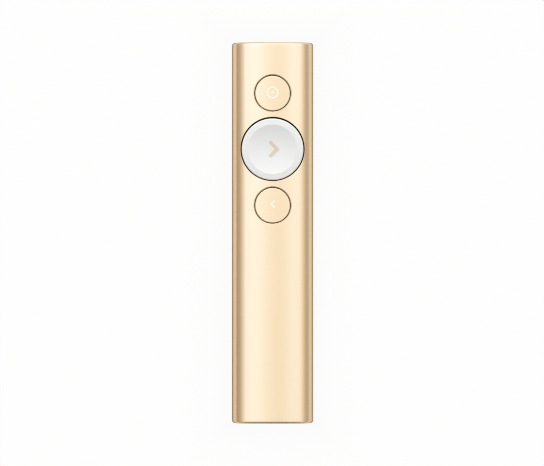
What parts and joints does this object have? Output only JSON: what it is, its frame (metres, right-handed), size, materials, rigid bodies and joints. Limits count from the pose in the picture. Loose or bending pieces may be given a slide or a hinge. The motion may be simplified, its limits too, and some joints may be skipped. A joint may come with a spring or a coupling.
{
  "type": "wireless presentation clicker",
  "caption": "Slim oval metal presentation clicker with round push buttons, a dished main button, and a plug-in receiver stowed in its tail.",
  "frame": {"origin": "centre of the flat band on the back, halfway along the clicker", "axes": "+Z out of the front face through the buttons, +Y along the clicker to the pointing tip, +X to the right seen from the front"},
  "size_m": [0.028, 0.1314, 0.0127],
  "materials": {
    "anodised_gold": "satin bead-blasted, anodised pale gold",
    "gold_plastic": "satin, painted pale gold",
    "white_plastic": "smooth satin white",
    "black_plastic": "fine matte, glass filled",
    "clear_plastic": "clear, polished ends",
    "ivory_nylon": "moulded ivory nylon",
    "circuit_board": "green solder mask",
    "chip_black": "moulded epoxy",
    "aerial_white": "white fired block with silvered ends",
    "plated_steel": "nickel plated sheet",
    "spring_steel": "bright spring strip",
    "screw_steel": "black zinc plated",
    "contact_gold": "gold plated",
    "cell_foil": "matt laminate pouch",
    "foam": "adhesive foam",
    "boot_rubber": "moulded silicone rubber",
    "weight_metal": "sintered heavy alloy",
    "lead_red": "soft insulation",
    "lead_black": "soft insulation"
  },
  "bodies": {
    "housing": {"body_sleeve": "anodised_gold", "front_cap": "gold_plastic", "light_pipe": "clear_plastic", "chassis": "black_plastic", "button_carrier": "black_plastic", "carrier_screws": "screw_steel", "tail_screws": "screw_steel", "tail_plate": "gold_plastic", "receiver_bay": "black_plastic", "bay_springs": "spring_steel", "main_board": "circuit_board", "radio_shield": "plated_steel", "board_chips": "chip_black", "chip_antenna": "aerial_white", "status_lamp": "aerial_white", "charging_port_shell": "plated_steel", "charging_port_tongue": "black_plastic", "charging_port_contacts": "contact_gold", "battery_cell": "cell_foil", "battery_pad": "foam", "battery_guard": "circuit_board", "battery_lead_red": "lead_red", "battery_lead_black": "lead_black", "battery_socket": "ivory_nylon", "battery_plug": "ivory_nylon", "motor_can": "plated_steel", "motor_boot": "boot_rubber", "motor_leads": "lead_red", "pointer_switch_base": "black_plastic", "pointer_switch_cover": "plated_steel", "pointer_switch_dome": "spring_steel", "next_switch_base": "black_plastic", "next_switch_cover": "plated_steel", "next_switch_dome": "spring_steel", "back_switch_base": "black_plastic", "back_switch_cover": "plated_steel", "back_switch_dome": "spring_steel"},
    "pointer_button": {"pointer_button_face": "anodised_gold", "pointer_button_plunger": "black_plastic", "pointer_switch_stem": "ivory_nylon"},
    "next_button": {"next_button_face": "white_plastic", "next_button_plunger": "black_plastic", "next_switch_stem": "ivory_nylon"},
    "back_button": {"back_button_face": "anodised_gold", "back_button_plunger": "black_plastic", "back_switch_stem": "ivory_nylon"},
    "receiver": {"receiver_case": "white_plastic", "receiver_collar": "white_plastic", "receiver_board": "circuit_board", "receiver_chips": "chip_black", "receiver_plug_shell": "plated_steel", "receiver_plug_tongue": "black_plastic", "receiver_plug_contacts": "contact_gold"},
    "motor_rotor": {"motor_shaft": "spring_steel", "motor_weight": "weight_metal"}
  },
  "joints": [
    {"name": "pointer_button_press", "type": "slide", "parent": "housing", "child": "pointer_button", "axis": [0, 0, -1], "range_m": [0, 0.0003], "stiffness_N_per_m": 4500, "springref_m": -0.0001, "deforming": ["pointer_switch_dome"]},
    {"name": "next_button_press", "type": "slide", "parent": "housing", "child": "next_button", "axis": [0, 0, -1], "range_m": [0, 0.0004], "stiffness_N_per_m": 4000, "springref_m": -0.0001, "deforming": ["next_switch_dome"]},
    {"name": "back_button_press", "type": "slide", "parent": "housing", "child": "back_button", "axis": [0, 0, -1], "range_m": [0, 0.0003], "stiffness_N_per_m": 4500, "springref_m": -0.0001, "deforming": ["back_switch_dome"]},
    {"name": "receiver_pull", "type": "slide", "parent": "housing", "child": "receiver", "axis": [0, -1, 0], "range_m": [0, 0.032], "deforming": ["bay_springs"]},
    {"name": "motor_weight_spin", "type": "hinge", "parent": "housing", "child": "motor_rotor", "pos_m": [0, -0.0256, 0.00715], "axis": [1, 0, 0], "continuous": true}
  ]
}
